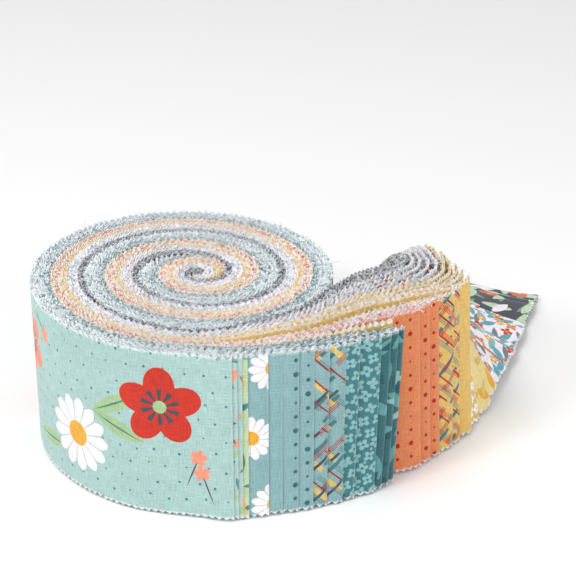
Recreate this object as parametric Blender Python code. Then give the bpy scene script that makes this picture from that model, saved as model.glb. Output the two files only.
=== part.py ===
"""A roll of forty cotton strips, each folded in half, wound as one stack and stood on its edge.

The outer ends of the strips fan out from the roll. The first seventeen lie close against the
stack and show as low steps in the wound solid. The others stand free as sheets: ten single
strips, then six pairs whose two strips lie face to face, then the last strip.
Lengths are in metres, +Z is up, and the origin is on the roll's axis at the level it stands on.
"""

import math
from collections import namedtuple

import bpy
import numpy as np

# The strips and the wound stack.
STRIP_WIDTH = 0.0635
TURN_PITCH = 0.01945
ROLL_RADIUS = 0.0497
OVAL = 0.0018
OVAL_RADIUS = 0.055
SLIT = 0.0006
CORE_ANGLE = -768
LAST_WOUND_ANGLE = 252
ANGLE_STEP = 6
HUB = (0.002, 0.0015)

# The fan of strip ends.
LOOSE_PITCH = 0.0018
LEANING_PITCH = 0.00125
PITCH_CHANGES = (0.110, 0.150)
SECTION_TURN = math.radians(14)
SECTION_TURNS = (0.120, 0.200)
END_SPREAD = 0.012
PANEL_STEP = 0.006
ROOT_GAP = 0.0003

# The free sheets.
SHEET_THICKNESS = 0.001
SHEET_CLEARANCE = 0.00045
FOLD_LENGTH = 0.0006
FOLD_SHARE = 0.55
STATION_STEP = 0.0062
WIDTH_ROWS = 4
FLARE = 0.2

# Where the outer ends of the strips stand, seen from above, from the first end to the last.
FAN_EDGE = (
    (0.0150, -0.0656),
    (0.0272, -0.0633),
    (0.0405, -0.0596),
    (0.0535, -0.0542),
    (0.0650, -0.0472),
    (0.0745, -0.0390),
    (0.0820, -0.0309),
    (0.0892, -0.0229),
    (0.0966, -0.0140),
    (0.1020, -0.0062),
    (0.1066, 0.0022),
    (0.1110, 0.0112),
    (0.1153, 0.0206),
    (0.1193, 0.0305),
    (0.1240, 0.0440),
    (0.1293, 0.0610),
    (0.1355, 0.0820),
    (0.1435, 0.1085),
)

# One row for each cloth, from the outside of the stack to the inside: how many strips lie
# together in a sheet of it, and how far along the fan's edge each of its sheets ends.
Cloth = namedtuple("Cloth", "name colour strips ends")
CLOTHS = (
    Cloth("mint_floral", (0.52, 0.78, 0.70), 1, (0.0,)),
    Cloth("mint", (0.50, 0.76, 0.68), 1, (0.0016, 0.0032)),
    Cloth("lime", (0.70, 0.78, 0.52), 1, (0.0052,)),
    Cloth("aqua_daisy", (0.40, 0.62, 0.63), 1, (0.0122,)),
    Cloth("aqua", (0.40, 0.62, 0.63), 1, (0.0170,)),
    Cloth("aqua_dot", (0.38, 0.63, 0.63), 1, (0.0226, 0.0280)),
    Cloth("aqua_plaid", (0.38, 0.58, 0.60), 1, (0.0340, 0.0400)),
    Cloth("teal_ditsy", (0.12, 0.38, 0.38), 1, (0.0460, 0.0540)),
    Cloth("teal_leaf", (0.07, 0.33, 0.34), 1, (0.0580, 0.0615, 0.0645)),
    Cloth("straw", (0.75, 0.68, 0.35), 1, (0.0665, 0.0675)),
    Cloth("orange_dot", (0.82, 0.24, 0.10), 1, (0.0770, 0.0825, 0.0880)),
    Cloth("yellow_plaid", (0.74, 0.58, 0.25), 1, (0.0955, 0.1008)),
    Cloth("yellow", (0.76, 0.50, 0.12), 1, (0.1090,)),
    Cloth("yellow_ditsy", (0.80, 0.62, 0.28), 1, (0.1130, 0.1190)),
    Cloth("yellow_leaf", (0.78, 0.54, 0.16), 1, (0.1300, 0.1380)),
    Cloth("white_print", (0.72, 0.70, 0.76), 2, (0.1470, 0.1570, 0.1740, 0.1960)),
    Cloth("dark_floral", (0.06, 0.06, 0.08), 2, (0.2200, 0.2290)),
    Cloth("grey", (0.16, 0.17, 0.20), 1, (0.2340,)),
)
SHEETS = [(cloth, end) for cloth in CLOTHS for end in cloth.ends]
ENDS = np.array([end for _, end in SHEETS])
FIRST_FREE = 17

# How far the free ends lean back, in degrees, by distance along the fan's edge.
LEAN_AT = (0.095, 0.110, 0.120, 0.130, 0.140, 0.150, 0.165, 0.180, 0.200, 0.235)
LEAN_DEG = (0, 6, 12, 21, 31, 40, 49, 55, 62, 74)
FIRST_LEANING, FULLY_LEANING = 19, 24
INNER_LEAN_AT = (0.066, 0.080, 0.090, 0.100, 0.120, 0.135, 0.150, 0.165, 0.200)
INNER_LEAN_DEG = (0, 6, 9, 10, 8, 6, 4, 3, 1)


def smoothstep(value, low, high):
    share = np.clip((value - low) / (high - low), 0.0, 1.0)
    return share * share * (3 - 2 * share)


def roll_radius(angle):
    """Radius of the stack's outer face at an angle in degrees, which grows by a pitch a turn."""
    radius = ROLL_RADIUS + TURN_PITCH * angle / 360
    return radius - OVAL * radius / OVAL_RADIUS * math.sin(math.radians(2 * angle))


def on_roll(angle, outset=0.0):
    """The point on the stack's outer face at this angle, seen from above."""
    radius = roll_radius(angle) + outset
    return np.array(
        (radius * math.cos(math.radians(angle)), radius * math.sin(math.radians(angle)))
    )


def smooth_line(knots, pieces=12):
    """Points on a Catmull-Rom curve through the knots."""
    knots = np.array(knots)
    chords = np.linalg.norm(np.diff(knots, axis=0), axis=1)
    slopes = np.empty_like(knots)
    slopes[1:-1] = (knots[2:] - knots[:-2]) / (chords[1:] + chords[:-1])[:, None]
    slopes[0] = (knots[1] - knots[0]) / chords[0]
    slopes[-1] = (knots[-1] - knots[-2]) / chords[-1]
    points = []
    for i, chord in enumerate(chords):
        for t in np.arange(pieces) / pieces:
            points.append(
                (2 * t**3 - 3 * t**2 + 1) * knots[i]
                + (t**3 - 2 * t**2 + t) * chord * slopes[i]
                + (3 * t**2 - 2 * t**3) * knots[i + 1]
                + (t**3 - t**2) * chord * slopes[i + 1]
            )
    return np.array(points + [knots[-1]])


def measured_edge():
    """The fan's edge with its lead-in from the roll, its distances and its directions."""
    lead_in = [on_roll(angle) for angle in (216, 234, LAST_WOUND_ANGLE)]
    line = smooth_line(lead_in + list(FAN_EDGE))
    steps = np.linalg.norm(np.diff(line, axis=0), axis=1)
    distance = np.concatenate([[0], np.cumsum(steps)])
    start = np.argmin(np.linalg.norm(line - FAN_EDGE[0], axis=1))
    heading = np.unwrap(np.arctan2(*np.gradient(line, axis=0).T[::-1]))
    smoothing = np.hanning(15) / np.hanning(15).sum()
    padded = np.pad(heading, 7, mode="edge")
    return line, distance - distance[start], np.convolve(padded, smoothing, "valid")


EDGE_LINE, EDGE_DISTANCE, EDGE_HEADING = measured_edge()


def edge_point(s):
    return np.array([np.interp(s, EDGE_DISTANCE, EDGE_LINE[:, i]) for i in (0, 1)])


def inward(s):
    """The level direction from the fan's edge into the fan."""
    heading = np.interp(s, EDGE_DISTANCE, EDGE_HEADING)
    heading += SECTION_TURN * smoothstep(s, *SECTION_TURNS)
    return np.array((-math.sin(heading), math.cos(heading)))


def ended(s):
    """How many sheets have ended by here, evened out over neighbouring ends."""
    offsets = np.linspace(-2, 2, 17) * END_SPREAD
    weights = np.exp(-0.5 * (offsets / END_SPREAD) ** 2)
    reached = np.interp(s + offsets, ENDS, np.arange(len(ENDS)), left=0)
    return float((weights * reached).sum() / weights.sum())


def room_to_roll(s):
    """Level distance from the fan's edge to the roll, or a large one where the fan clears it."""
    point, direction = edge_point(s), inward(s)
    reach = 0.0
    while reach < 0.06:
        x, y = point + direction * reach
        angle = math.degrees(math.atan2(y, x))
        if math.hypot(x, y) <= roll_radius(angle) + SLIT:
            return reach
        reach += 0.0001
    return 1.0


def pitch(s):
    """Level distance from one sheet to the next, at this distance along the fan's edge."""
    loose = LOOSE_PITCH + (LEANING_PITCH - LOOSE_PITCH) * smoothstep(s, *PITCH_CHANGES)
    return min(loose, room_to_roll(s) / (len(SHEETS) - ended(s)))


def sheet_point(sheet, s):
    """Where a sheet's outer face meets the ground, seen from above."""
    return edge_point(s) + inward(s) * (sheet - ended(s)) * pitch(s)


def new_object(name, colour, points, faces):
    mesh = bpy.data.meshes.new(name)
    mesh.from_pydata([tuple(point) for point in points], [], faces)
    mesh.update()
    obj = bpy.data.objects.new(name, mesh)
    bpy.context.scene.collection.objects.link(obj)
    obj.data.materials.append(cotton(colour))
    obj.data.shade_smooth()
    obj.data.set_sharp_from_angle(angle=math.radians(35))
    return obj


def cotton(colour):
    """A matt woven cotton in this colour, shared by the sheets that have it."""
    name = "cotton_%02d_%02d_%02d" % tuple(round(100 * channel) for channel in colour)
    if name in bpy.data.materials:
        return bpy.data.materials[name]
    material = bpy.data.materials.new(name)
    material.use_nodes = True
    shader = material.node_tree.nodes["Principled BSDF"]
    shader.inputs["Base Color"].default_value = (*colour, 1)
    shader.inputs["Roughness"].default_value = 0.9
    shader.inputs["Metallic"].default_value = 0
    return material


def prism(name, colour, plan, faces, height):
    """A solid of this height on a plan that is given as points and faces."""
    count = len(plan)
    points = [(x, y, 0.0) for x, y in plan] + [(x, y, height) for x, y in plan]
    edges = {}
    for face in faces:
        for a, b in zip(face, face[1:] + face[:1]):
            edges[a, b] = (b, a) in edges
            if edges[a, b]:
                edges[b, a] = True
    walls = [(a, b, b + count, a + count) for (a, b), inner in edges.items() if not inner]
    floor = [tuple(reversed(face)) for face in faces]
    top = [tuple(i + count for i in face) for face in faces]
    return new_object(name, colour, points, floor + walls + top)


def panel_outline():
    """The stepped outer face of the close strips, as pairs of a distance and a point."""
    outline = []
    start = -2 * END_SPREAD
    for sheet, end in enumerate(ENDS[:FIRST_FREE]):
        stations = np.linspace(start, end, max(2, math.ceil((end - start) / PANEL_STEP) + 1))
        outline += [(s, sheet_point(sheet, s)) for s in stations]
        start = end
    return outline


def wound_roll():
    """The stack from its core to where the free ends begin, with a slit between its turns."""
    plan, faces = [np.array(HUB)], []

    def add(point):
        plan.append(np.array(point))
        return len(plan) - 1

    outer = {}
    inner = None
    for angle in range(CORE_ANGLE, LAST_WOUND_ANGLE + 1, ANGLE_STEP):
        outer[angle] = add(on_roll(angle))
        if angle == CORE_ANGLE:
            continue
        before, here = outer[angle - ANGLE_STEP], outer[angle]
        if angle < CORE_ANGLE + 360:
            faces.append((0, before, here))
        elif angle == CORE_ANGLE + 360:
            inner = outer[CORE_ANGLE]
            faces.append((0, before, here, inner))
        else:
            next_inner = add(on_roll(angle - 360, SLIT))
            faces.append((inner, before, here, next_inner))
            inner = next_inner

    last_outer, last_s = outer[LAST_WOUND_ANGLE], None
    for s, point in panel_outline():
        here = add(point)
        if s == last_s:
            faces.append((inner, last_outer, here))
        else:
            depth = (len(SHEETS) - ended(s)) * pitch(s)
            next_inner = add(edge_point(s) + inward(s) * depth)
            faces.append((inner, last_outer, here, next_inner))
            inner = next_inner
        last_outer, last_s = here, s
    return prism("wound_roll", CLOTHS[0].colour, plan, faces, STRIP_WIDTH)


def lean(sheet, s):
    """How far a sheet leans back here, in radians: the inner ones lean most."""
    share = smoothstep(sheet, FIRST_LEANING, FULLY_LEANING)
    inner_share = smoothstep(sheet, FULLY_LEANING, len(SHEETS) - 1)
    degrees = np.interp(s, LEAN_AT, LEAN_DEG) * share
    degrees += np.interp(s, INNER_LEAN_AT, INNER_LEAN_DEG) * inner_share
    return math.radians(float(degrees))


def row_angle(angle, share):
    """The lean at this share of a sheet's width, which flares out at its lower edge."""
    return angle * (1 + FLARE * (1 - 2 * share))


def lift(sheet, s):
    """Height of a sheet's lower edge where the sheets under it lie too flat to clear it."""
    total = 0.0
    for under in range(sheet + 1, len(SHEETS)):
        flattest = row_angle(lean(under, s), 0.0)
        short = SHEET_THICKNESS + SHEET_CLEARANCE - pitch(s) * math.cos(flattest)
        if short > 0:
            total += short / math.sin(flattest)
    return total


def sheet_section(sheet, s, thickness):
    """The sheet's outer and inner faces at one station, each from its lower edge to its upper."""
    ground, level = sheet_point(sheet, s), inward(s)
    base = np.array((*ground, lift(sheet, s)))
    back = np.array((*level, 0.0))
    up = np.array((0.0, 0.0, 1.0))
    angle = lean(sheet, s)
    rise = STRIP_WIDTH / (WIDTH_ROWS - 1)
    outer, inner = [], []
    for row in range(WIDTH_ROWS):
        share = row / (WIDTH_ROWS - 1)
        local = row_angle(angle, share)
        normal = back * math.cos(local) - up * math.sin(local)
        middle = base + normal * SHEET_THICKNESS / 2
        outer.append(middle - normal * thickness / 2)
        inner.append(middle + normal * thickness / 2)
        between = row_angle(angle, (row + 0.5) / (WIDTH_ROWS - 1))
        base = base + (up * math.cos(between) + back * math.sin(between)) * rise
    return outer, inner


def free_sheet(sheet, first):
    """One free end: a sheet from the end of the wound stack to its own folded end."""
    cloth, end = SHEETS[sheet]
    start = ENDS[FIRST_FREE - 1] + ROOT_GAP
    last = end - FOLD_LENGTH
    along = [s for s in start + STATION_STEP * np.arange(40) if s < last - STATION_STEP / 3]
    stations = [(s, SHEET_THICKNESS) for s in along + [last]]
    stations.append((end, SHEET_THICKNESS * FOLD_SHARE))
    points = []
    for s, thickness in stations:
        outer, inner = sheet_section(sheet, s, thickness)
        points += outer + inner[::-1]
    ring = 2 * WIDTH_ROWS
    faces = []
    for station in range(len(stations) - 1):
        for i in range(ring):
            a, b = station * ring + i, station * ring + (i + 1) % ring
            faces.append((a, a + ring, b + ring, b))
    ends = (0, (len(stations) - 1) * ring)
    for corner in ends:
        for row in range(WIDTH_ROWS - 1):
            a, b = corner + row, corner + row + 1
            d, c = corner + ring - 1 - row, corner + ring - 2 - row
            faces.append((a, b, c, d) if corner == 0 else (d, c, b, a))
    names = [f"{first + i:02d}" for i in range(cloth.strips)]
    kind = "strip" if cloth.strips == 1 else "strips"
    return new_object("_".join([kind] + names), cloth.colour, points, faces)


def main():
    for obj in list(bpy.data.objects):
        bpy.data.objects.remove(obj)
    wound_roll()
    first = FIRST_FREE + 1
    for sheet in range(FIRST_FREE, len(SHEETS)):
        free_sheet(sheet, first)
        first += SHEETS[sheet][0].strips


main()
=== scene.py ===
"""The looks of a roll of forty printed cotton strips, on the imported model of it.

Each strip is its own closed ribbon of cloth at its cut size, folded in half, with its fold at the
loose end. Both halves run down the fan, through the wound stack and into the core.
"""
import math
from collections import namedtuple

import bpy
import numpy as np
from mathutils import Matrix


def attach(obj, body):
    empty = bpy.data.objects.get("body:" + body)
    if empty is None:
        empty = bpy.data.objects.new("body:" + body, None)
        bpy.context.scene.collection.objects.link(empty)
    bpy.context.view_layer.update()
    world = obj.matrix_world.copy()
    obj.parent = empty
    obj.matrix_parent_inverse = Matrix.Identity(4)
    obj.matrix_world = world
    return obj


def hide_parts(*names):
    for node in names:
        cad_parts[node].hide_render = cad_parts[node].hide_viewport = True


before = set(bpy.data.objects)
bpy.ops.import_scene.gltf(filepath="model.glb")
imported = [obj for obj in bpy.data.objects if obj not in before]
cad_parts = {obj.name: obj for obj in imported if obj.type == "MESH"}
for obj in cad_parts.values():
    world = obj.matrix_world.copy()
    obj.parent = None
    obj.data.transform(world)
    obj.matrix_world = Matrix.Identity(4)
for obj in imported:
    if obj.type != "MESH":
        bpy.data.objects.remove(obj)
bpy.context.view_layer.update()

# The strips and the wound stack, in metres and degrees, as the model has them.
STRIP_WIDTH = 0.0635
TURN_PITCH = 0.01945
ROLL_RADIUS = 0.0497
OVAL = 0.0018
OVAL_RADIUS = 0.055
LAST_WOUND_ANGLE = 252
LOOSE_PITCH = 0.0018
LEANING_PITCH = 0.00125
PITCH_CHANGES = (0.110, 0.150)
SECTION_TURN = math.radians(14)
SECTION_TURNS = (0.120, 0.200)
END_SPREAD = 0.012
SHEET_THICKNESS = 0.001
SHEET_CLEARANCE = 0.00045
FLARE = 0.2
LEAN_AT = (0.095, 0.110, 0.120, 0.130, 0.140, 0.150, 0.165, 0.180, 0.200, 0.235)
LEAN_DEG = (0, 6, 12, 21, 31, 40, 49, 55, 62, 74)
FIRST_LEANING, FULLY_LEANING = 19, 24
INNER_LEAN_AT = (0.066, 0.080, 0.090, 0.100, 0.120, 0.135, 0.150, 0.165, 0.200)
INNER_LEAN_DEG = (0, 6, 9, 10, 8, 6, 4, 3, 1)
FAN_EDGE = (
    (0.0150, -0.0656),
    (0.0272, -0.0633),
    (0.0405, -0.0596),
    (0.0535, -0.0542),
    (0.0650, -0.0472),
    (0.0745, -0.0390),
    (0.0820, -0.0309),
    (0.0892, -0.0229),
    (0.0966, -0.0140),
    (0.1020, -0.0062),
    (0.1066, 0.0022),
    (0.1110, 0.0112),
    (0.1153, 0.0206),
    (0.1193, 0.0305),
    (0.1240, 0.0440),
    (0.1293, 0.0610),
    (0.1355, 0.0820),
    (0.1435, 0.1085),
)

# The cloth, its pinked edges, how it swells beside its fold, how much shorter some cloths show
# than in the model, and the inner strips that stand a little higher at the root of the fan.
LAYER = 0.00022
FREE_LAYER = 0.00040
WOUND_HALF = 0.00012
SINGLE_HALF = 0.00032
PAIRED_HALF = 0.00012
TOOTH_STEP = 0.00125
TOOTH_DEPTH = 0.0012
TOOTH_RANGE = (0.6, 1.1)
EDGE_RANGE = 0.0003
SWELL = 0.0007
SWELL_RISE = 0.0015
TRIMS = {"aqua_plaid": 0.0008, "teal_ditsy": 0.0020, "teal_leaf": 0.0025, "straw": 0.0050}
FIRST_RAISED = 22
RAISED = 0.0022
RAISE_UP = (-0.02, 0.02)
RAISE_DOWN = (0.078, 0.108)
SLACK = 0.00002
FREE_ROWS = 7
FREE_FROM = 0.045

# The strips begin one by one around a small core, the inner ones first.
CORE_RADIUS = 0.0008

# One row for each cloth from the outside of the stack to the inside: how many strips lie together
# in a sheet of it, and how far along the fan's edge each of its sheets ends.
Cloth = namedtuple("Cloth", "name strips ends")
CLOTHS = (
    Cloth("mint_floral", 1, (0.0,)),
    Cloth("mint_sprig", 1, (0.0016, 0.0032)),
    Cloth("lime", 1, (0.0052,)),
    Cloth("aqua_daisy", 1, (0.0122,)),
    Cloth("aqua", 1, (0.0170,)),
    Cloth("aqua_dot", 1, (0.0226, 0.0280)),
    Cloth("aqua_plaid", 1, (0.0340, 0.0400)),
    Cloth("teal_ditsy", 1, (0.0460, 0.0540)),
    Cloth("teal_leaf", 1, (0.0580, 0.0615, 0.0645)),
    Cloth("straw", 1, (0.0665, 0.0675)),
    Cloth("orange_dot", 1, (0.0770, 0.0825, 0.0880)),
    Cloth("yellow_plaid", 1, (0.0955, 0.1008)),
    Cloth("yellow", 1, (0.1090,)),
    Cloth("yellow_ditsy", 1, (0.1130, 0.1190)),
    Cloth("yellow_leaf", 1, (0.1300, 0.1380)),
    Cloth("white_print", 2, (0.1470, 0.1570, 0.1740, 0.1960)),
    Cloth("dark_floral", 2, (0.2200, 0.2290)),
    Cloth("grey", 1, (0.2340,)),
)
PAIR_STAGGER = 0.0035

Strip = namedtuple("Strip", "number cloth sheet end middle half layer")
STRIPS = []
ENDS = []
for cloth in CLOTHS:
    for end in cloth.ends:
        sheet = len(ENDS)
        ENDS.append(end)
        places = ((end - TRIMS.get(cloth.name, 0), 0.5, SINGLE_HALF, FREE_LAYER),)
        if cloth.strips == 2:
            places = (
                (end - PAIR_STAGGER, 0.25, PAIRED_HALF, LAYER),
                (end, 0.75, PAIRED_HALF, LAYER),
            )
        STRIPS += [
            Strip(len(STRIPS) + i, cloth.name, sheet, *place) for i, place in enumerate(places)
        ]
ENDS = np.array(ENDS)
PAIRED = np.array([strip.middle != 0.5 for strip in STRIPS])


def smoothstep(value, low, high):
    share = np.clip((value - low) / (high - low), 0.0, 1.0)
    return share * share * (3 - 2 * share)


# The guide lines of the roll and the fan.
def roll_radius(angle):
    """Radius of the stack's outer face at an angle in degrees."""
    radius = ROLL_RADIUS + TURN_PITCH * angle / 360
    return radius - OVAL * radius / OVAL_RADIUS * np.sin(np.radians(2 * angle))


def round_points(radius, angle):
    return np.stack([radius * np.cos(np.radians(angle)), radius * np.sin(np.radians(angle))], -1)


def smooth_line(knots, pieces=12):
    """Points on a Catmull-Rom curve through the knots."""
    knots = np.array(knots)
    chords = np.linalg.norm(np.diff(knots, axis=0), axis=1)
    slopes = np.empty_like(knots)
    slopes[1:-1] = (knots[2:] - knots[:-2]) / (chords[1:] + chords[:-1])[:, None]
    slopes[0] = (knots[1] - knots[0]) / chords[0]
    slopes[-1] = (knots[-1] - knots[-2]) / chords[-1]
    points = []
    for i, chord in enumerate(chords):
        for t in np.arange(pieces) / pieces:
            points.append(
                (2 * t**3 - 3 * t**2 + 1) * knots[i]
                + (t**3 - 2 * t**2 + t) * chord * slopes[i]
                + (3 * t**2 - 2 * t**3) * knots[i + 1]
                + (t**3 - t**2) * chord * slopes[i + 1]
            )
    return np.array(points + [knots[-1]])


class Fan:
    """The fan's edge, and the strips' spacing and lean along it, tabled by distance."""

    def __init__(self):
        lead_in = [round_points(roll_radius(a), a) for a in (216, 234, LAST_WOUND_ANGLE)]
        line = smooth_line(lead_in + list(FAN_EDGE))
        distance = np.concatenate([[0], np.cumsum(np.linalg.norm(np.diff(line, axis=0), axis=1))])
        zero = distance[np.argmin(np.linalg.norm(line - FAN_EDGE[0], axis=1))]
        distance = distance - zero
        heading = np.unwrap(np.arctan2(*np.gradient(line, axis=0).T[::-1]))
        smoothing = np.hanning(15) / np.hanning(15).sum()
        heading = np.convolve(np.pad(heading, 7, mode="edge"), smoothing, "valid")
        self.start = distance[np.argmin(np.linalg.norm(line - lead_in[-1], axis=1))]
        self.s = np.arange(self.start, ENDS[-1] + 0.002, 0.001)
        self.x = np.interp(self.s, distance, line[:, 0])
        self.y = np.interp(self.s, distance, line[:, 1])
        self.heading = np.interp(self.s, distance, heading)
        self.heading += SECTION_TURN * smoothstep(self.s, *SECTION_TURNS)
        self.ended = self.ended_at(self.s)
        self.paired_weight = 1 - 0.5 * smoothstep(self.s, -0.02, 0.06)
        total = (~PAIRED).sum() + PAIRED.sum() * self.paired_weight
        share = smoothstep(self.s, *PITCH_CHANGES)
        loose = LOOSE_PITCH + (LEANING_PITCH - LOOSE_PITCH) * share
        self.pitch = np.minimum(loose, self.room() / (total - self.ended))
        self.lift = self.lifts()

    def ended_at(self, s):
        """How many sheets have ended by here, evened out over neighbouring ends."""
        offsets = np.linspace(-2, 2, 17) * END_SPREAD
        weights = np.exp(-0.5 * (offsets / END_SPREAD) ** 2)
        reached = np.interp(s[:, None] + offsets, ENDS, np.arange(len(ENDS)), left=0)
        return reached @ weights / weights.sum()

    def room(self):
        """Level distance from the fan's edge to the roll, large where the fan clears it."""
        reach = np.arange(0, 0.06, 0.0001)
        x = self.x[:, None] - np.sin(self.heading)[:, None] * reach
        y = self.y[:, None] + np.cos(self.heading)[:, None] * reach
        inside = np.hypot(x, y) <= roll_radius(np.degrees(np.arctan2(y, x))) + 0.0003
        return np.where(inside.any(1), reach[inside.argmax(1)], 1.0)

    def lean(self, sheet, s):
        """How far a sheet leans back, in radians."""
        share = smoothstep(sheet, FIRST_LEANING, FULLY_LEANING)
        inner_share = smoothstep(sheet, FULLY_LEANING, len(ENDS) - 1)
        degrees = np.interp(s, LEAN_AT, LEAN_DEG) * share
        return np.radians(degrees + np.interp(s, INNER_LEAN_AT, INNER_LEAN_DEG) * inner_share)

    def lifts(self):
        """Height of each sheet's lower edge over the ones that lie flat under it."""
        steps = np.zeros((len(ENDS) + 1, len(self.s)))
        for sheet in range(len(ENDS)):
            flattest = self.lean(sheet, self.s) * (1 + FLARE)
            short = SHEET_THICKNESS + SHEET_CLEARANCE - self.pitch * np.cos(flattest)
            steps[sheet] = np.where(short > 0, short / np.maximum(np.sin(flattest), 0.05), 0)
            steps[sheet] *= flattest > 0.05
        return steps[::-1].cumsum(0)[::-1]


FAN = Fan()


def wander(rng, distance, size, shortest):
    """A smooth unevenness of about this size, with waves from this length upwards."""
    total = np.zeros_like(distance)
    for octave in range(3):
        wave = shortest * 2.3**octave
        phase = rng.uniform(0, 2 * math.pi)
        total += np.sin(distance * 2 * math.pi / wave * rng.uniform(0.8, 1.25) + phase)
    return total * size / 2


def wound_line(strip):
    """The angles, points and normals of the part of a strip that is wound up."""
    share = (strip.number + 0.5) / len(STRIPS)
    first = (CORE_RADIUS + TURN_PITCH * (1 - share) - ROLL_RADIUS) * 360 / TURN_PITCH
    angle = np.append(np.arange(first, LAST_WOUND_ANGLE - 2, 3.0), LAST_WOUND_ANGLE)
    outer = roll_radius(angle)
    inner = np.maximum(outer - TURN_PITCH, CORE_RADIUS)
    radius = np.minimum(inner + TURN_PITCH * (1 - share), outer)
    return angle, round_points(radius, angle), -round_points(1.0, angle)


def free_line(strip, s):
    """The points and normals of a strip in the fan, and its half width and layer there."""
    weights = np.ones((len(STRIPS), len(FAN.s)))
    weights[PAIRED] = FAN.paired_weight
    before = np.interp(s, FAN.s, weights[: strip.number].sum(0) - FAN.ended)
    if strip.middle == 0.75:
        before = before - np.interp(s, FAN.s, FAN.paired_weight)
    pitch = np.interp(s, FAN.s, FAN.pitch)
    loose = smoothstep(s, -0.02, 0.06)
    own = strip.middle * (2 if PAIRED[strip.number] else 1)
    middle = (1 - loose) * own * pitch + loose * strip.middle * SHEET_THICKNESS
    depth = before * pitch + middle
    heading = np.interp(s, FAN.s, FAN.heading)
    normal = np.stack([-np.sin(heading), np.cos(heading)], -1)
    points = np.stack([np.interp(s, FAN.s, FAN.x), np.interp(s, FAN.s, FAN.y)], -1)
    points = points + normal * depth[:, None]
    half = WOUND_HALF + (strip.half - WOUND_HALF) * loose
    half = np.minimum(half, (pitch - LAYER) / 2 - SLACK)
    layer = LAYER + (strip.layer - LAYER) * loose
    return points, normal, half, np.minimum(layer, 2 * half - SLACK)


Guide = namedtuple("Guide", "distance x y nx ny lift lean half layer s")


def strip_guide(strip):
    """The middle line of a folded strip from its fold to the core, and how it stands there."""
    angle, wound, wound_normal = wound_line(strip)
    s = np.append(np.arange(FAN.start + 0.002, strip.end - 0.0005, 0.0015), strip.end)
    free, normal, half, layer = free_line(strip, s)
    ground = np.concatenate([wound, free])
    normals = np.concatenate([wound_normal, normal])
    steps = np.linalg.norm(np.diff(ground, axis=0), axis=1)
    distance = np.concatenate([[0], np.cumsum(steps)])
    distance = distance[-1] - distance
    rng = np.random.default_rng(100 + strip.number)
    ground += normals * wander(rng, distance, 0.00006, 0.012)[:, None]

    still = np.zeros(len(angle))
    lean = np.concatenate([still, FAN.lean(strip.sheet, s)])
    lean += near_lean(strip) * np.exp(-((distance / NEAR_LEAN_REACH) ** 2))
    lift = np.concatenate([still, np.interp(s, FAN.s, FAN.lift[strip.sheet + 1])])
    lift += rng.uniform(0.0, 0.0004) + wander(rng, distance, 0.00012, 0.03) + 0.00012
    here = np.concatenate([still + FAN.start, s])
    if strip.number >= FIRST_RAISED:
        lift += RAISED * smoothstep(here, *RAISE_UP) * (1 - smoothstep(here, *RAISE_DOWN))
    rows = (
        distance,
        *ground.T,
        *normals.T,
        np.maximum(lift, 0),
        lean,
        np.concatenate([still + WOUND_HALF, half]),
        np.concatenate([still + LAYER, layer]),
        here,
    )
    return Guide(*[row[::-1] for row in rows])


def swell(strip, distance):
    """How far the outer half of a strip swells out between its fold and the strip before it."""
    before = STRIPS[strip.number - 1].end if strip.number else -0.012
    width = max(strip.end - before, 0.0005)
    size = SWELL * min(1.0, width / 0.006)
    rise = 1 - np.exp(-distance / SWELL_RISE)
    return size * rise * (1 - smoothstep(distance, 0.4 * width, 1.05 * width))


# How far some cloths lean near their folds, in degrees, and over what distance: the outer ones
# fall outwards.
NEAR_LEAN_REACH = 0.022
NEAR_LEAN = {
    "aqua_dot": -0.5,
    "aqua_plaid": -1.2,
    "teal_ditsy": -2.2,
    "teal_leaf": -3.0,
    "orange_dot": 3.0,
    "yellow_plaid": 2.0,
}


def near_lean(strip):
    return math.radians(NEAR_LEAN.get(strip.cloth, 0))


def station_arrays(strip):
    """The stations of a whole ribbon: down its outer half, round the fold, up its inner half."""
    guide = strip_guide(strip)
    fold = guide.half[0]
    along = fold + TOOTH_STEP * np.arange(1, int((guide.distance[-1] - fold) / TOOTH_STEP))
    turn = np.radians((-90, -54, -18, 18, 54, 90))
    distance = np.concatenate([along[::-1], np.full(len(turn), fold), along])
    side = np.concatenate([np.full(len(along), -1.0), np.sin(turn), np.full(len(along), 1.0)])
    forward = np.concatenate([np.zeros(len(along)), np.cos(turn), np.zeros(len(along))])

    def lay(values):
        return np.interp(distance, guide.distance, values)

    half = lay(guide.half)
    straight = distance - fold + fold * math.pi / 2
    u = np.where(side * (forward == 0) != 0, side * straight, np.arcsin(side) * fold)
    tooth = np.concatenate(
        [np.arange(len(along), 0, -1), np.zeros(len(turn), int), np.arange(1, len(along) + 1)]
    )
    normal = np.stack([lay(guide.nx), lay(guide.ny)], -1)
    normal /= np.linalg.norm(normal, axis=1)[:, None]
    return {
        "base": np.stack([lay(guide.x), lay(guide.y), lay(guide.lift)], -1),
        "normal": np.column_stack([normal, np.zeros(len(distance))]),
        "tangent": np.column_stack([normal[:, 1], -normal[:, 0], np.zeros(len(distance))]),
        "lean": lay(guide.lean),
        "off": side * half - (side == -1) * swell(strip, distance - fold),
        "forward": forward * half,
        "side": side,
        "ahead": forward,
        "u": u,
        "layer": lay(guide.layer),
        "low": notch(strip, tooth, 0),
        "high": notch(strip, tooth, 1),
        "free": lay(guide.s) > FREE_FROM,
    }


def notch(strip, tooth, edge):
    """How deep each point of a pinked edge is cut in: the two layers of a strip are cut as one."""
    rng = np.random.default_rng(900 + 2 * strip.number + edge)
    count = tooth.max() + 1
    cut = TOOTH_DEPTH * rng.uniform(*TOOTH_RANGE, count) * (np.arange(count) % 2)
    return (cut + rng.uniform(0, EDGE_RANGE, count))[tooth]


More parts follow.
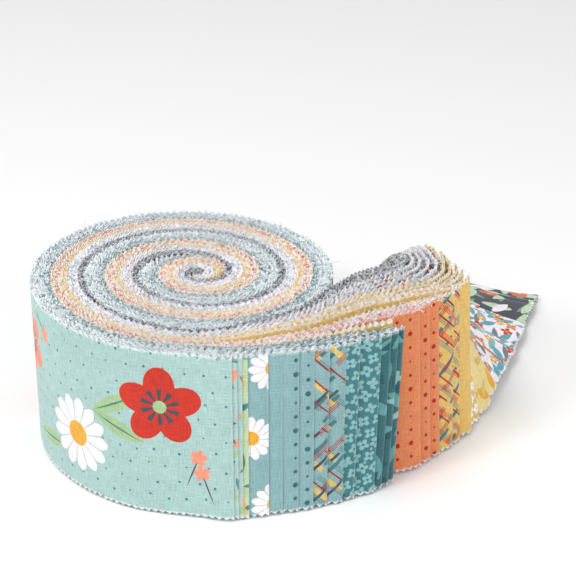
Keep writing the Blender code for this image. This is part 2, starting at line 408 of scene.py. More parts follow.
def section_points(st, rows):
    """The ring of points of each station: outside from bottom to top, inside back down."""
    v = np.tile(np.linspace(0, STRIP_WIDTH, rows), (len(st["u"]), 1))
    v[:, 0] += st["low"]
    v[:, -1] -= st["high"]
    share = v / STRIP_WIDTH
    lean = np.where(np.abs(st["lean"]) < 1e-4, 1e-4, st["lean"])[:, None]
    low = lean * (1 + FLARE)
    here = low - 2 * FLARE * lean * share
    back = (np.cos(here) - np.cos(low)) / (2 * FLARE * lean) * STRIP_WIDTH
    rise = (np.sin(low) - np.sin(here)) / (2 * FLARE * lean) * STRIP_WIDTH
    up = np.array([0.0, 0.0, 1.0])
    normal = st["normal"][:, None, :]
    facing = np.cos(here)[..., None] * normal - np.sin(here)[..., None] * up
    centre = st["base"][:, None, :] + back[..., None] * normal + rise[..., None] * up
    centre = centre + facing * st["off"][:, None, None]
    centre = centre + (st["tangent"] * st["forward"][:, None])[:, None, :]
    out = facing * st["side"][:, None, None]
    out = out + (st["tangent"] * st["ahead"][:, None])[:, None, :]
    half_layer = st["layer"][:, None, None] / 2
    outside = centre + out * half_layer
    inside = centre - out * half_layer
    ring = np.concatenate([outside, inside[:, ::-1]], axis=1)
    ring[..., 2] = np.maximum(ring[..., 2], 0.0)
    ring_v = np.concatenate([v, v[:, ::-1]], axis=1)
    uv = np.stack([np.broadcast_to(st["u"][:, None], ring_v.shape), ring_v], -1)
    return ring.reshape(-1, 3), uv.reshape(-1, 2)


def ring_faces(first, count, rows):
    """Quads between successive rings, and which of the three materials each has."""
    ring = 2 * rows
    corner = first + ring * np.arange(count - 1)[:, None] + np.arange(ring)
    beside = first + ring * np.arange(count - 1)[:, None] + (np.arange(ring) + 1) % ring
    faces = np.stack([corner, corner + ring, beside + ring, beside], -1).reshape(-1, 4)
    slots = np.ones(ring, int)
    slots[: rows - 1] = 0
    slots[[rows - 1, ring - 1]] = 2
    return faces.tolist(), np.tile(slots, count - 1).tolist()


def joining_faces(few, many, rows, forward):
    """The faces between a ring of two rows and the next ring, which has more."""
    f, m = few, many
    top, last = rows - 1, 2 * rows - 1
    outside = [f, *range(m, m + rows), f + 1]
    edge = [f + 1, m + top, m + top + 1, f + 2]
    inside = [f + 2, *range(m + top + 1, m + last + 1), f + 3]
    under = [f + 3, m + last, m, f]
    faces = [outside, edge, inside, under]
    return [face if forward else face[::-1] for face in faces], [0, 2, 1, 2]


def take(stations, start, stop):
    return {name: values[start:stop] for name, values in stations.items()}


def ribbon(strip):
    """A strip as points, texture places, faces and material slots."""
    st = station_arrays(strip)
    free = np.flatnonzero(st["free"])
    count = len(st["u"])
    parts = [(0, count, 2)]
    if len(free) and strip.end > FREE_FROM + 0.01:
        parts = [(0, free[0], 2), (free[0], free[-1] + 1, FREE_ROWS), (free[-1] + 1, count, 2)]
    points, places, faces, slots, firsts = [], [], [], [], []
    total = 0
    for start, stop, rows in parts:
        ring, uv = section_points(take(st, start, stop), rows)
        more, kinds = ring_faces(total, stop - start, rows)
        firsts.append((total, total + len(ring) - 2 * rows))
        points.append(ring)
        places.append(uv)
        faces += more
        slots += kinds
        total += len(ring)
    if len(parts) == 3:
        for few, many, forward in (
            (firsts[0][1], firsts[1][0], True),
            (firsts[2][0], firsts[1][1], False),
        ):
            more, kinds = joining_faces(few, many, FREE_ROWS, forward)
            faces += more
            slots += kinds
    last = total - 4
    faces += [[0, 1, 2, 3], [last + 3, last + 2, last + 1, last]]
    slots += [2, 2]
    return np.concatenate(points), np.concatenate(places), faces, slots


# The prints. Lengths in the prints are in millimetres, and colours are as a screen shows them.
def screen(red, green, blue):
    """A colour given in screen values from 0 to 255, as the shader needs it."""
    values = np.array((red, green, blue)) / 255
    linear = np.where(values <= 0.04045, values / 12.92, ((values + 0.055) / 1.055) ** 2.4)
    return (*[float(value) for value in linear], 1.0)


MINT = screen(165, 196, 192)
AQUA = screen(134, 171, 174)
LIME = screen(184, 206, 164)
TEAL = screen(64, 121, 125)
DEEP_TEAL = screen(50, 102, 107)
SHADE_TEAL = screen(34, 88, 96)
PALE_TEAL = screen(136, 182, 184)
STRAW = screen(228, 210, 132)
ORANGE = screen(219, 131, 86)
CORAL = screen(244, 150, 120)
RED = screen(205, 52, 34)
DARK_RED = screen(165, 30, 24)
YELLOW = screen(219, 185, 106)
PALE_YELLOW = screen(232, 212, 146)
GOLD = screen(228, 168, 50)
WHITE = screen(240, 238, 244)
LILAC = screen(226, 222, 236)
GREY = screen(120, 124, 135)
DARK = screen(72, 74, 84)
NAVY = screen(48, 50, 74)
LEAF = screen(192, 214, 182)
SAGE = screen(160, 190, 140)
SKY = screen(96, 166, 182)
THREAD = screen(244, 245, 249)


class Print:
    """One cloth's material, built up step by step on its places along and across the strip."""

    def __init__(self, name):
        self.material = bpy.data.materials.new(name)
        self.material.use_nodes = True
        self.tree = self.material.node_tree
        self.shader = self.tree.nodes["Principled BSDF"]
        self.along, self.across = self.place("Cloth")
        self.u, self.v = self.place("Print")

    def place(self, layer):
        found = self.node("ShaderNodeUVMap", uv_map=layer)
        metres = self.node("ShaderNodeSeparateXYZ", {0: found.outputs[0]})
        return [self.math("MULTIPLY", value, 1000) for value in metres.outputs[:2]]

    def node(self, kind, inputs=None, **settings):
        made = self.tree.nodes.new(kind)
        for name, value in settings.items():
            setattr(made, name, value)
        for key, value in (inputs or {}).items():
            self.feed(made.inputs[key], value)
        return made

    def feed(self, socket, value):
        if isinstance(value, bpy.types.NodeSocket):
            self.tree.links.new(value, socket)
        else:
            socket.default_value = value

    def math(self, operation, *values, clamp=False):
        inputs = dict(enumerate(values))
        return self.node("ShaderNodeMath", inputs, operation=operation, use_clamp=clamp).outputs[0]

    def add(self, a, b):
        return self.math("ADD", a, b)

    def times(self, a, b):
        return self.math("MULTIPLY", a, b)

    def soft(self, value, width):
        """A mask that rises from 0 to 1 as a value passes zero, over this width."""
        return self.math("MULTIPLY_ADD", value, 1 / width, 0.5, clamp=True)

    def point(self, x, y, z=0.0):
        return self.node("ShaderNodeCombineXYZ", {0: x, 1: y, 2: z}).outputs[0]

    def noise(self, x, y, z=0.0, detail=2.0):
        inputs = {"Vector": self.point(x, y, z), "Scale": 1.0, "Detail": detail}
        return self.node("ShaderNodeTexNoise", inputs).outputs[0]

    def mix(self, mask, a, b):
        made = self.node("ShaderNodeMix", data_type="RGBA")
        self.feed(made.inputs[0], mask)
        self.feed(made.inputs[6], a)
        self.feed(made.inputs[7], b)
        return made.outputs[2]

    def cells(self, across, up, seed, jitter):
        """Cells of this size: the place in one from its own middle, and two random numbers."""
        y = self.add(self.math("DIVIDE", self.v, up), seed * 1.37)
        row = self.math("FLOOR", y)
        shifted = self.math("MULTIPLY_ADD", row, 0.5, seed)
        x = self.add(self.math("DIVIDE", self.u, across), shifted)
        column = self.math("FLOOR", x)
        chance = self.node(
            "ShaderNodeTexWhiteNoise", {"Vector": self.point(column, row, seed)}
        ).outputs[1]
        random = self.node("ShaderNodeSeparateColor", {0: chance}).outputs
        places = []
        for value, cell, draw, size in ((x, column, random[0], across), (y, row, random[1], up)):
            middle = self.math("MULTIPLY_ADD", draw, jitter, 0.5 - jitter / 2)
            inside = self.math("SUBTRACT", self.math("SUBTRACT", value, cell), middle)
            places.append(self.times(inside, size))
        return places[0], places[1], random[2], random[0]

    def placed(self, u, v, repeat):
        """The place as seen from a motif at this point, which comes back after each repeat."""
        away = self.math("MULTIPLY_ADD", self.u, 1 / repeat, 0.5 - u / repeat)
        inside = self.math("SUBTRACT", self.math("FRACT", away), 0.5)
        return self.times(inside, repeat), self.math("SUBTRACT", self.v, v)

    def polar(self, x, y, turn=0.0):
        radius = self.math("SQRT", self.add(self.times(x, x), self.times(y, y)))
        return radius, self.add(self.math("ARCTAN2", y, x), turn)

    def petals(self, radius, angle, size, count, notch, edge=0.25):
        """The mask of a flower with this many petals, cut in between them by a share of it."""
        lobe = self.math("ABSOLUTE", self.math("COSINE", self.times(angle, count / 2)))
        reach = self.math("MULTIPLY_ADD", lobe, size * notch, size * (1 - notch))
        return self.soft(self.math("SUBTRACT", reach, radius), edge)

    def disc(self, radius, size, edge=0.25):
        return self.soft(self.math("SUBTRACT", size, radius), edge)

    def leaf(self, x, y, turn, length, width, edge=0.25):
        """The mask of a leaf, pointed at both ends, turned by an angle."""
        cosine, sine = self.math("COSINE", turn), self.math("SINE", turn)
        along = self.add(self.times(x, cosine), self.times(y, sine))
        aside = self.math("SUBTRACT", self.times(y, cosine), self.times(x, sine))
        share = self.math("DIVIDE", along, length)
        room = self.math("MULTIPLY_ADD", self.times(share, share), -width, width)
        return self.soft(self.math("SUBTRACT", room, self.math("ABSOLUTE", aside)), edge)

    def bands(self, slope, period, offset, width, edge=0.2):
        """Parallel bias bands: their mask, and the number of the band that a place is in."""
        across = self.math("MULTIPLY_ADD", self.v, slope, self.u)
        place = self.math("MULTIPLY_ADD", across, 1 / period, offset)
        number = self.math("FLOOR", place)
        inside = self.math("SUBTRACT", self.math("SUBTRACT", place, number), 0.5)
        away = self.times(self.math("ABSOLUTE", inside), period)
        return self.soft(self.math("SUBTRACT", width / 2, away), edge), number

    def dash(self, mask, number, slope, period, share, seed):
        """Keeps only some stretches of a set of bands."""
        along = self.math("MULTIPLY_ADD", self.v, -slope, self.u)
        piece = self.math("FLOOR", self.math("MULTIPLY_ADD", along, 1 / period, seed))
        chance = self.node(
            "ShaderNodeTexWhiteNoise", {"Vector": self.point(number, piece, seed)}
        ).outputs[0]
        return self.times(mask, self.math("LESS_THAN", chance, share))

    def weave(self, colour, bump=0.35):
        """Finishes the material: threads, slubs, a frayed edge, and a pale line along the fold that
        is partly painted highlight and partly rubbed wear.
        """
        u, v = self.along, self.across
        warp = self.noise(self.times(u, 2.9), self.times(v, 0.22), 3.0)
        weft = self.noise(self.times(u, 0.22), self.times(v, 2.9), 7.0)
        thread = self.add(warp, weft)
        cloud = self.noise(self.times(u, 0.06), self.times(v, 0.06), 11.0)
        shade = self.math("MULTIPLY_ADD", thread, 0.62, 0.35)
        shade = self.times(shade, self.math("MULTIPLY_ADD", cloud, 0.16, 0.92))
        tinted = self.node("ShaderNodeVectorMath", {0: colour}, operation="SCALE")
        self.feed(tinted.inputs["Scale"], shade)
        near = self.math("MINIMUM", v, self.math("SUBTRACT", STRIP_WIDTH * 1000, v))
        rough = self.noise(self.times(u, 1.1), self.times(v, 0.9), 5.0)
        fray = self.soft(self.math("SUBTRACT", self.times(rough, 2.3), near), 0.8)
        worn = self.mix(self.times(fray, 0.6), tinted.outputs[0], THREAD)
        # A pale line along the fold: partly a painted highlight, partly rubbed wear.
        fold = self.soft(self.math("SUBTRACT", 0.5, self.math("ABSOLUTE", u)), 0.9)
        final = self.mix(self.times(fold, 0.13), worn, THREAD)
        self.feed(self.shader.inputs["Base Color"], final)
        height = self.node("ShaderNodeBump", {"Height": thread, "Distance": 0.0003})
        height.inputs["Strength"].default_value = bump
        self.feed(self.shader.inputs["Normal"], height.outputs[0])
        return self.finish()

    def finish(self):
        self.shader.inputs["Roughness"].default_value = 0.88
        self.shader.inputs["Specular IOR Level"].default_value = 0.25
        self.shader.inputs["Sheen Weight"].default_value = 0.2
        self.shader.inputs["Sheen Roughness"].default_value = 0.5
        return self.material


def plain(p, colour, other, strength=0.12):
    """A near-plain cloth with a faint mottled second tone."""
    patch = p.noise(p.times(p.u, 0.5), p.times(p.v, 0.5), 2.0)
    return p.mix(p.times(patch, strength), colour, other)


def dots(p, ground, colour, across, up, size):
    """Small dots, strewn a little unevenly."""
    x, y, chance, _ = p.cells(across, up, 0.31, 0.3)
    radius, _ = p.polar(x, y)
    reach = p.math("MULTIPLY_ADD", chance, size * 0.5, size * 0.75)
    return p.mix(p.soft(p.math("SUBTRACT", reach, radius), 0.3), ground, colour)


def graded_dots(p, ground, colour, step, small, large):
    """Rows of dots that grow and shrink again every four rows up the strip."""
    up = p.math("DIVIDE", p.v, step)
    row = p.math("FLOOR", up)
    aside = p.math("DIVIDE", p.u, step)
    x = p.times(p.math("SUBTRACT", p.math("FRACT", aside), 0.5), step)
    y = p.times(p.math("SUBTRACT", p.math("SUBTRACT", up, row), 0.5), step)
    radius, _ = p.polar(x, y)
    swell = p.math("COSINE", p.times(row, math.pi / 2))
    middle, change = (large + small) / 2, (large - small) / 2
    reach = p.math("MULTIPLY_ADD", swell, change, middle)
    return p.mix(p.soft(p.math("SUBTRACT", reach, radius), 0.3), ground, colour)


def flowers(p, colour, petal, heart, spacing, size, count, notch, seed, share=1.0):
    """Small flowers strewn over a colour."""
    x, y, chance, other = p.cells(spacing, spacing, seed, 1 - 2 * size / spacing)
    radius, angle = p.polar(x, y, p.times(other, 6.28))
    mask = p.petals(radius, angle, size, count, notch)
    if share < 1:
        mask = p.times(mask, p.math("LESS_THAN", chance, share))
    middle = p.times(p.disc(radius, size * 0.24), mask)
    return p.mix(middle, p.mix(mask, colour, petal), heart)


def leaves(p, colour, leaf, spacing, length, width, seed, share=1.0):
    """Leaves strewn over a colour, each turned its own way."""
    x, y, chance, other = p.cells(spacing, spacing, seed, max(0.0, 1 - 2.2 * length / spacing))
    mask = p.leaf(x, y, p.times(other, 6.28), length, width)
    if share < 1:
        mask = p.times(mask, p.math("LESS_THAN", chance, share))
    return p.mix(mask, colour, leaf)


def daisy(p, colour, x, y, size, turn=0.0, shown=1.0):
    """A white daisy, with a narrow grey line between its petals."""
    radius, angle = p.polar(x, y, turn)
    mask = p.times(p.petals(radius, angle, size, 13, 0.22), shown)
    lobe = p.math("ABSOLUTE", p.math("COSINE", p.times(angle, 6.5)))
    line = p.times(p.soft(p.math("SUBTRACT", 0.2, lobe), 0.2), mask)
    colour = p.mix(mask, colour, p.mix(p.times(line, 0.5), WHITE, GREY))
    heart = p.times(p.disc(radius, size * 0.33), shown)
    return p.mix(heart, colour, GOLD)


def daisies(p, colour, spacing, size, seed, share):
    x, y, chance, other = p.cells(spacing, spacing, seed, max(0.0, 1 - 2 * size / spacing))
    shown = p.math("LESS_THAN", chance, share)
    return daisy(p, colour, x, y, size, p.times(other, 6.28), shown)


def blossom(p, colour, x, y, size, petal, turn, count=5):
    """A large blossom with broad veined petals and a dark heart."""
    radius, angle = p.polar(x, y, turn)
    vein = p.noise(p.times(angle, 5.0), p.times(radius, 0.25), size)
    tone = p.mix(p.times(vein, 0.35), petal, DARK_RED)
    colour = p.mix(p.petals(radius, angle, size, count, 0.38), colour, tone)
    lobe = p.math("ABSOLUTE", p.math("COSINE", p.times(angle, count)))
    ray = p.soft(p.math("SUBTRACT", lobe, 0.72), 0.2)
    colour = p.mix(p.times(p.disc(radius, size * 0.46, 0.6), ray), colour, DARK)
    return p.mix(p.disc(radius, size * 0.16), colour, SAGE)


# The bias check's sets of bars, from the bottom up: which of its colours, slope, period, offsets,
# width, length of a stretch and share of the stretches that are printed.
CHECK_BARS = (
    ("second", -1.0, 9.0, (0.55,), 2.0, 5.5, 0.5),
    ("wide", 1.0, 10.5, (0.2,), 2.6, 7.5, 0.5),
    ("dark", -1.0, 13.0, (0.1,), 1.5, 6.0, 0.45),
    ("second", 1.0, 9.0, (0.0, 0.1, 0.2), 0.35, 6.5, 0.6),
    ("line", -1.0, 8.0, (0.3, 0.42, 0.54), 0.45, 7.0, 0.45),
    ("line", 1.0, 8.0, (0.62,), 0.8, 11.0, 0.6),
)


def bias_check(p, ground, **colours):
    """An open bias check of broken bars and fine lines in two directions."""
    colour = ground
    for i, (name, slope, period, offsets, width, stretch, share) in enumerate(CHECK_BARS):
        for offset in offsets:
            mask, number = p.bands(slope, period, offset, width)
            printed = p.dash(mask, number, slope, stretch, share, 1.7 * i + 0.4)
            colour = p.mix(printed, colour, colours[name])
    return colour


# The large print's flowers, in millimetres from the fold and up the strip, and its repeat.
LARGE_REPEAT = 168
LARGE_LEAVES = ((-42, 40, 0.5), (-41, 31, -0.35), (-108, 33, 2.3), (-79, 12, 0.15), (-143, 20, 1.2))
LARGE_SPRIGS = ((-9, 12, 1.9), (-14, 18, 1.2), (-84, 56, -0.6), (-125, 52, 0.4))
LARGE_BLOSSOMS = ((-25, 42, 15.0, RED), (-96, 43, 12.5, CORAL), (-124, 14, 13.0, RED))
LARGE_DAISY = (-60, 22, 14.5)


def mint_floral(p):
    colour = dots(p, MINT, TEAL, 7.0, 6.2, 0.42)
    for u, v, turn in LARGE_LEAVES:
        x, y = p.placed(u, v, LARGE_REPEAT)
        colour = p.mix(p.leaf(x, y, turn, 11.0, 3.0), colour, SAGE)
        colour = p.mix(p.leaf(x, y, turn, 10.0, 0.35), colour, TEAL)
    for u, v, turn in LARGE_SPRIGS:
        colour = sprig(p, colour, *p.placed(u, v, LARGE_REPEAT), turn)
    for u, v, size, petal in LARGE_BLOSSOMS:
        colour = blossom(p, colour, *p.placed(u, v, LARGE_REPEAT), size, petal, 0.3 + u / 40)
    u, v, size = LARGE_DAISY
    return daisy(p, colour, *p.placed(u, v, LARGE_REPEAT), size)


def sprig(p, colour, x, y, turn):
    """A thin stem with a small flower at its head."""
    colour = p.mix(p.leaf(x, y, turn, 6.5, 0.28), colour, DARK)
    head_x = p.math("SUBTRACT", x, 6.0 * math.cos(turn))
    head_y = p.math("SUBTRACT", y, 6.0 * math.sin(turn))
    radius, angle = p.polar(head_x, head_y, turn)
    return p.mix(p.petals(radius, angle, 3.2, 5, 0.45), colour, CORAL)


def mint_sprig(p):
    colour = leaves(p, MINT, TEAL, 8, 3.6, 0.9, 4.1, 0.8)
    colour = leaves(p, colour, SAGE, 9, 4.0, 1.1, 2.3, 0.6)
    return flowers(p, colour, CORAL, GOLD, 12, 2.6, 5, 0.4, 6.7, 0.6)


def lime(p):
    colour = leaves(p, LIME, TEAL, 10, 4.5, 1.2, 1.4, 0.7)
    return flowers(p, colour, YELLOW, WHITE, 12, 3.2, 5, 0.4, 3.9, 0.7)


def aqua_daisy(p):
    colour = flowers(p, AQUA, CORAL, GREY, 25, 5.0, 5, 0.4, 8.3, 0.55)
    return daisies(p, colour, 27, 8.4, 3.74, 0.7)


def teal_ditsy(p):
    """Small four-petalled flowers in close rows, with a dot between them."""
    colour = flowers(p, TEAL, PALE_TEAL, TEAL, 4.9, 2.25, 4, 0.62, 2.2)
    return flowers(p, colour, PALE_TEAL, PALE_TEAL, 4.9, 0.55, 3, 0.1, 2.7)


def teal_leaf(p):
    """Tone-on-tone leaves, with a few pale flowers."""
    colour = leaves(p, DEEP_TEAL, screen(92, 152, 152), 12, 6.0, 2.0, 3.3, 0.8)
    colour = leaves(p, colour, SHADE_TEAL, 11, 5.0, 1.7, 6.1, 0.8)
    colour = leaves(p, colour, PALE_TEAL, 23, 5.5, 1.3, 8.7, 0.5)
    return flowers(p, colour, PALE_TEAL, GOLD, 26, 3.0, 5, 0.4, 1.6, 0.4)


def yellow_ditsy(p):
    return flowers(p, plain(p, YELLOW, GOLD), THREAD, GOLD, 4.9, 2.1, 5, 0.5, 5.2, 0.95)


def yellow_leaf(p):
    colour = leaves(p, PALE_YELLOW, GOLD, 10, 5.0, 1.8, 2.6, 0.9)
    return leaves(p, colour, YELLOW, 8, 4.0, 1.5, 7.4, 0.8)


def white_print(p):
    """Leaves, small flowers and fine lines of many colours, strewn over white."""
    colour = leaves(p, WHITE, PALE_TEAL, 9, 5.0, 1.6, 4.4, 0.7)
    colour = leaves(p, colour, GREY, 10, 4.5, 1.3, 7.1, 0.6)
    colour = leaves(p, colour, SKY, 9, 4.4, 1.6, 1.8, 0.7)
    for offset in (0.0, 0.045, 0.09):
        mask, number = p.bands(0.35, 26.0, offset, 0.5)
        colour = p.mix(p.dash(mask, number, 0.35, 9.0, 0.4, 3.3), colour, RED)
    colour = flowers(p, colour, ORANGE, GOLD, 9.5, 2.8, 4, 0.6, 6.6, 0.6)
    colour = flowers(p, colour, RED, GOLD, 10.0, 2.7, 4, 0.6, 8.8, 0.55)
    return flowers(p, colour, GOLD, WHITE, 13.0, 2.3, 5, 0.5, 3.2, 0.5)


def dark_floral(p):
    """Pale leaves and flowers close together on a dark ground."""
    colour = leaves(p, DARK, screen(122, 150, 140), 12, 6.5, 1.6, 6.9, 0.7)
    colour = leaves(p, colour, LEAF, 13, 7.5, 2.4, 2.7, 0.95)
    colour = leaves(p, colour, WHITE, 15, 6.0, 2.2, 5.2, 0.55)
    return flowers(p, colour, screen(222, 112, 78), GOLD, 23, 4.6, 5, 0.4, 4.6, 0.55)


# How each cloth is printed, the ground that its cut edges show, two colours of its print, its slot,
# which sets how pale its unprinted side shows, and how pale and how fluffy its cut edges are.
Look = namedtuple("Look", "draw ground accents slot pale fluff", defaults=(0.6, 0.9))
LOOKS = {
    "mint_floral": Look(mint_floral, MINT, (TEAL, WHITE), "mint"),
    "mint_sprig": Look(mint_sprig, MINT, (TEAL, WHITE), "mint"),
    "lime": Look(lime, LIME, (TEAL, AQUA), "mint"),
    "aqua_daisy": Look(aqua_daisy, AQUA, (GREY, WHITE), "mint"),
    "aqua": Look(lambda p: plain(p, AQUA, PALE_TEAL), AQUA, (TEAL, WHITE), "mint"),
    "aqua_dot": Look(
        lambda p: graded_dots(p, AQUA, DEEP_TEAL, 5.4, 0.5, 1.0), AQUA, (DEEP_TEAL, WHITE), "mint"
    ),
    "aqua_plaid": Look(
        lambda p: bias_check(p, AQUA, wide=YELLOW, line=DARK_RED, second=TEAL, dark=DARK),
        AQUA,
        (TEAL, WHITE),
        "mint",
    ),
    "teal_ditsy": Look(teal_ditsy, TEAL, (DEEP_TEAL, PALE_TEAL), "mint", 0.35),
    "teal_leaf": Look(teal_leaf, DEEP_TEAL, (DEEP_TEAL, PALE_TEAL), "mint", 0.2),
    "straw": Look(lambda p: plain(p, STRAW, GOLD, 0.3), STRAW, (GOLD, WHITE), "yellow", 0.2),
    "orange_dot": Look(
        lambda p: graded_dots(p, ORANGE, DARK_RED, 5.4, 0.4, 0.9),
        CORAL,
        (DARK_RED, ORANGE),
        "orange",
        0.4,
    ),
    "yellow_plaid": Look(
        lambda p: bias_check(p, YELLOW, wide=ORANGE, line=DARK_RED, second=TEAL, dark=PALE_TEAL),
        PALE_YELLOW,
        (RED, WHITE),
        "yellow",
        0.3,
    ),
    "yellow": Look(lambda p: plain(p, YELLOW, GOLD, 0.25), YELLOW, (GOLD, WHITE), "yellow", 0.1, 0.6),
    "yellow_ditsy": Look(yellow_ditsy, YELLOW, (GOLD, WHITE), "yellow", 0.1, 0.7),
    "yellow_leaf": Look(yellow_leaf, PALE_YELLOW, (GOLD, YELLOW), "yellow", 0.1, 0.6),
    "white_print": Look(white_print, LILAC, (SKY, CORAL), "white", 0.6, 0.9),
    "dark_floral": Look(dark_floral, DARK, (NAVY, GREY), "dark", 0.05, 0.5),
    "grey": Look(lambda p: plain(p, DARK, GREY, 0.3), DARK, (NAVY, LILAC), "dark", 0.05, 0.3),
}


def print_material(name):
    p = Print(f"print_{name}")
    return p.weave(LOOKS[name].draw(p))


# How pale the ground shows on the unprinted side of the dark, the yellow and all other cloths.
FADED = {"dark": 0.18, "yellow": 0.3}
OTHERS_FADED = 0.45


def reverse_material(name):
    """The unprinted side, through which the ground shows pale."""
    p = Print(f"reverse_{name}")
    look = LOOKS[name]
    return p.weave(p.mix(FADED.get(look.slot, OTHERS_FADED), look.ground, THREAD))


def edge_material(name):
    """The cut edge: loose thread ends, pale ones over the ground, with specks of the print."""
    look = LOOKS[name]
    p = Print(f"edge_{name}")
    where = p.node("ShaderNodeTexCoord").outputs["Object"]
    place = p.node("ShaderNodeVectorMath", {0: where, 1: (1000.0,) * 3}, operation="MULTIPLY")

    def specks(size, seed):
        moved = p.node("ShaderNodeVectorMath", {0: place.outputs[0], 1: (seed, seed, seed)})
        inputs = {"Vector": moved.outputs[0], "Scale": 1 / size, "Detail": 1.5}
        return p.node("ShaderNodeTexNoise", inputs).outputs[0]

    colour = p.mix(look.pale, look.ground, THREAD)
    other = p.soft(p.math("SUBTRACT", specks(1.5, 41.3), 0.58), 0.06)
    colour = p.mix(p.times(other, 0.85), colour, look.accents[1])
    fluff = specks(1.1, 17.9)
    bright = p.soft(p.math("SUBTRACT", fluff, 0.53), 0.06)
    colour = p.mix(p.times(bright, look.fluff), colour, THREAD)
    deep = p.soft(p.math("SUBTRACT", 0.43, specks(1.3, 3.7)), 0.06)
    colour = p.mix(p.times(deep, 0.75), colour, look.accents[0])
    p.feed(p.shader.inputs["Base Color"], colour)
    height = p.node("ShaderNodeBump", {"Height": fluff, "Distance": 0.0003, "Strength": 0.6})
    p.feed(p.shader.inputs["Normal"], height.outputs[0])
    return p.finish()


def new_mesh(name, points, faces):
    mesh = bpy.data.meshes.new(name)
    mesh.from_pydata(points.tolist(), [], faces)
    mesh.update()
    obj = bpy.data.objects.new(name, mesh)
    bpy.context.scene.collection.objects.link(obj)
    return obj


def place_cloth(obj, places, shift):
    """Stores where each point lies on the flat strip and in its print, in metres."""
    corners = np.empty(len(obj.data.loops), np.int32)
    obj.data.loops.foreach_get("vertex_index", corners)
    for name, moved in (("Cloth", places), ("Print", places + shift)):
        layer = obj.data.uv_layers.new(name=name)
        layer.data.foreach_set("uv", moved[corners].astype(np.float32).ravel())


def print_shift(strip):
    """How far a strip's print is moved, so that strips of one cloth are not cut alike."""
    if strip.cloth == "mint_floral":
        return np.zeros(2)
    rng = np.random.default_rng(500 + strip.number)
    return np.array((rng.uniform(0, 0.3), rng.uniform(0, 0.09)))


def build_strips():
    materials = {
        name: (print_material(name), reverse_material(name), edge_material(name)) for name in LOOKS
    }
    made = []
    for strip in STRIPS:
        points, places, faces, slots = ribbon(strip)
        obj = new_mesh(f"cotton_strip_{strip.number + 1:02d}", points, faces)
        place_cloth(obj, places, print_shift(strip))
        for material in materials[strip.cloth]:
            obj.data.materials.append(material)
        obj.data.polygons.foreach_set("material_index", np.array(slots, np.int32))
        obj.data.shade_smooth()
        obj.data.set_sharp_from_angle(angle=math.radians(38))
        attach(obj, "root")
        made.append(obj)
    return made


# The lint: short loose fibres along the pinked edges, and more of them on the fan's free strips.
FIRST_FREE = 17
FIBRES = 14000
FAN_FIBRES = 2600
FAN_FROM = 0.058
FIBRE_RADIUS = 0.00009
FIBRE_LENGTHS = (0.0006, 0.0023)
FIBRE_SIDES = 3
FIBRE_STATIONS = 3


def edge_points(strips, fan):
    """Points along the strips' upper edges, and one in nine of those along the lower ones.

    For the fan they are those of its upper edges alone.
    """
    found = []
    for strip in strips:
        mesh = strip.data
        points = np.empty(len(mesh.vertices) * 3)
        mesh.vertices.foreach_get("co", points)
        points = points.reshape(-1, 3)
        if fan:
            away = np.hypot(points[:, 0], points[:, 1]) > FAN_FROM
            found.append(points[away & (points[:, 2] > STRIP_WIDTH - 0.006)])
        else:
            high = points[points[:, 2] > STRIP_WIDTH - 0.001]
            low = points[points[:, 2] < 0.0006]
            found += [high, low[::9]]
    return np.concatenate(found)


def add_lint(name, spots, count, steepest, seed):
    """Short bent fibres that start at some of these places."""
    rng = np.random.default_rng(seed)
    spots = spots[rng.integers(0, len(spots), count)]
    turn = rng.uniform(0, 2 * math.pi, count)
    climb = rng.uniform(-0.1, steepest, count)
    heading = np.stack([np.cos(turn), np.sin(turn), climb], -1)
    heading /= np.linalg.norm(heading, axis=1)[:, None]
    length = FIBRE_LENGTHS[0] + (FIBRE_LENGTHS[1] - FIBRE_LENGTHS[0]) * rng.random(count) ** 2.5
    curl = rng.normal(0, 0.35, (count, 3))
    side = np.cross(heading, rng.normal(0, 1, (count, 3)))
    side /= np.linalg.norm(side, axis=1)[:, None]
    other = np.cross(heading, side)
    points = []
    for station in range(FIBRE_STATIONS):
        share = station / (FIBRE_STATIONS - 1)
        bend = curl * share**2 - np.array([0, 0, 0.25]) * share**2
        middle = spots + (heading * share + bend) * length[:, None]
        for corner in range(FIBRE_SIDES):
            angle = 2 * math.pi * corner / FIBRE_SIDES
            around = math.cos(angle) * side + math.sin(angle) * other
            points.append(middle + around * FIBRE_RADIUS)
    points = np.stack(points, 1)
    points[..., 2] = np.maximum(points[..., 2], 0.0)
    ring, faces = FIBRE_SIDES, []
    for station in range(FIBRE_STATIONS - 1):
        for corner in range(ring):
            a, b = station * ring + corner, station * ring + (corner + 1) % ring
            faces.append([a, b, b + ring, a + ring])
    last = ring * (FIBRE_STATIONS - 1)
    caps = [[2, 1, 0], [last, last + 1, last + 2]]
    size = ring * FIBRE_STATIONS
    one = np.array([face + face[-1:] if len(face) == 3 else face for face in faces + caps])
    every = (size * np.arange(count)[:, None, None] + one).reshape(-1, 4).tolist()
    every = [face[:3] if face[3] == face[2] else face for face in every]
    lint = new_mesh(name, points.reshape(-1, 3), every)
    lint.data.materials.append(lint_material())
    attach(lint, "root")


def lint_material():
    """Pale cotton, a little uneven in tone."""
    material = bpy.data.materials.new("lint_cotton")
    material.use_nodes = True
    shader = material.node_tree.nodes["Principled BSDF"]
    noise = material.node_tree.nodes.new("ShaderNodeTexNoise")
    noise.inputs["Scale"].default_value = 40
    ramp = material.node_tree.nodes.new("ShaderNodeMix")
    ramp.data_type = "RGBA"
    ramp.inputs[6].default_value = THREAD
    ramp.inputs[7].default_value = screen(205, 212, 214)
    material.node_tree.links.new(noise.outputs[0], ramp.inputs[0])
    material.node_tree.links.new(ramp.outputs[2], shader.inputs["Base Color"])
    shader.inputs["Roughness"].default_value = 0.9
    return material


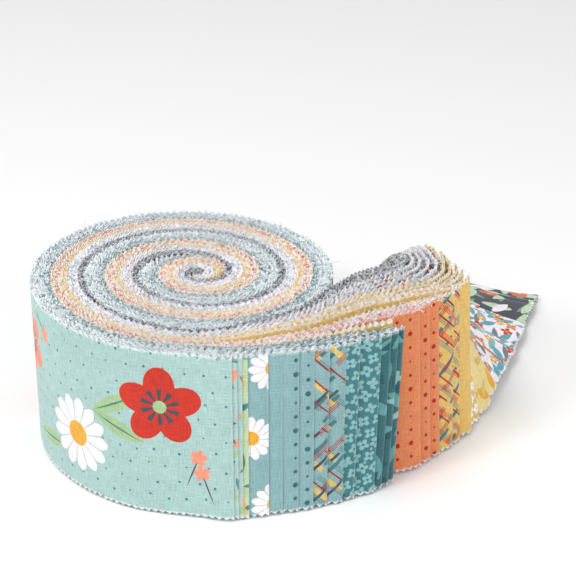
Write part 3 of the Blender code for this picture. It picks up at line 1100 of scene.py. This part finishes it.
def declare_strips():
    """Each strip is cloth of its cut size. The model's wound roll and strip solids are hidden, and
    the strips are shown in their place.
    """
    free = sorted(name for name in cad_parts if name.startswith("strip"))
    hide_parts("wound_roll")
    for node in free:
        for number in node.split("_")[1:]:
            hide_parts(node)


# The light, the floor and the camera.
CAMERA_TARGET = (0.0334, 0.0, 0.0567)
CAMERA_DISTANCE = 0.6197
CAMERA_ELEVATION = math.radians(25.83)
CAMERA_LENS = 106.75


def add_camera():
    camera = bpy.data.cameras.new("camera")
    camera.sensor_width = 36
    camera.lens = CAMERA_LENS
    obj = bpy.data.objects.new("camera", camera)
    bpy.context.scene.collection.objects.link(obj)
    x, y, z = CAMERA_TARGET
    obj.location = (
        x,
        y - CAMERA_DISTANCE * math.cos(CAMERA_ELEVATION),
        z + CAMERA_DISTANCE * math.sin(CAMERA_ELEVATION),
    )
    obj.rotation_euler = (math.pi / 2 - CAMERA_ELEVATION, 0, 0)
    bpy.context.scene.camera = obj


def add_light(name, location, size, power):
    light = bpy.data.lights.new(name, "AREA")
    light.shape = "DISK"
    light.size = size
    light.energy = power
    obj = bpy.data.objects.new(name, light)
    bpy.context.scene.collection.objects.link(obj)
    obj.location = location
    away = np.array(location) - np.array(CAMERA_TARGET)
    level = math.hypot(away[0], away[1])
    obj.rotation_euler = (math.atan2(level, away[2]), 0, math.atan2(away[1], away[0]) + math.pi / 2)


def add_stage():
    floor = new_mesh(
        "floor", np.array([(-3, -3, 0), (3, -3, 0), (3, 3, 0), (-3, 3, 0)], float), [[0, 1, 2, 3]]
    )
    floor.location.z = -0.0002
    material = bpy.data.materials.new("floor_white")
    material.use_nodes = True
    shader = material.node_tree.nodes["Principled BSDF"]
    shader.inputs["Base Color"].default_value = (0.94, 0.94, 0.94, 1)
    shader.inputs["Roughness"].default_value = 0.7
    floor.data.materials.append(material)
    world = bpy.data.worlds.new("studio")
    world.use_nodes = True
    background = world.node_tree.nodes["Background"]
    background.inputs["Color"].default_value = (1, 1, 1, 1)
    background.inputs["Strength"].default_value = 0.62
    bpy.context.scene.world = world
    bpy.context.scene.view_settings.view_transform = "Standard"


add_camera()
add_light("top", (-0.35, -0.35, 1.1), 0.5, 5.5)
add_light("left", (-0.85, -0.7, 0.8), 0.35, 4.5)
add_light("right", (0.95, -0.75, 0.5), 0.5, 4)
add_stage()
cotton = build_strips()
declare_strips()
add_lint("loose_fibres", edge_points(cotton, False), FIBRES, 0.9, 7)
add_lint("loose_fibres_fan", edge_points(cotton[FIRST_FREE:], True), FAN_FIBRES, 0.4, 8)
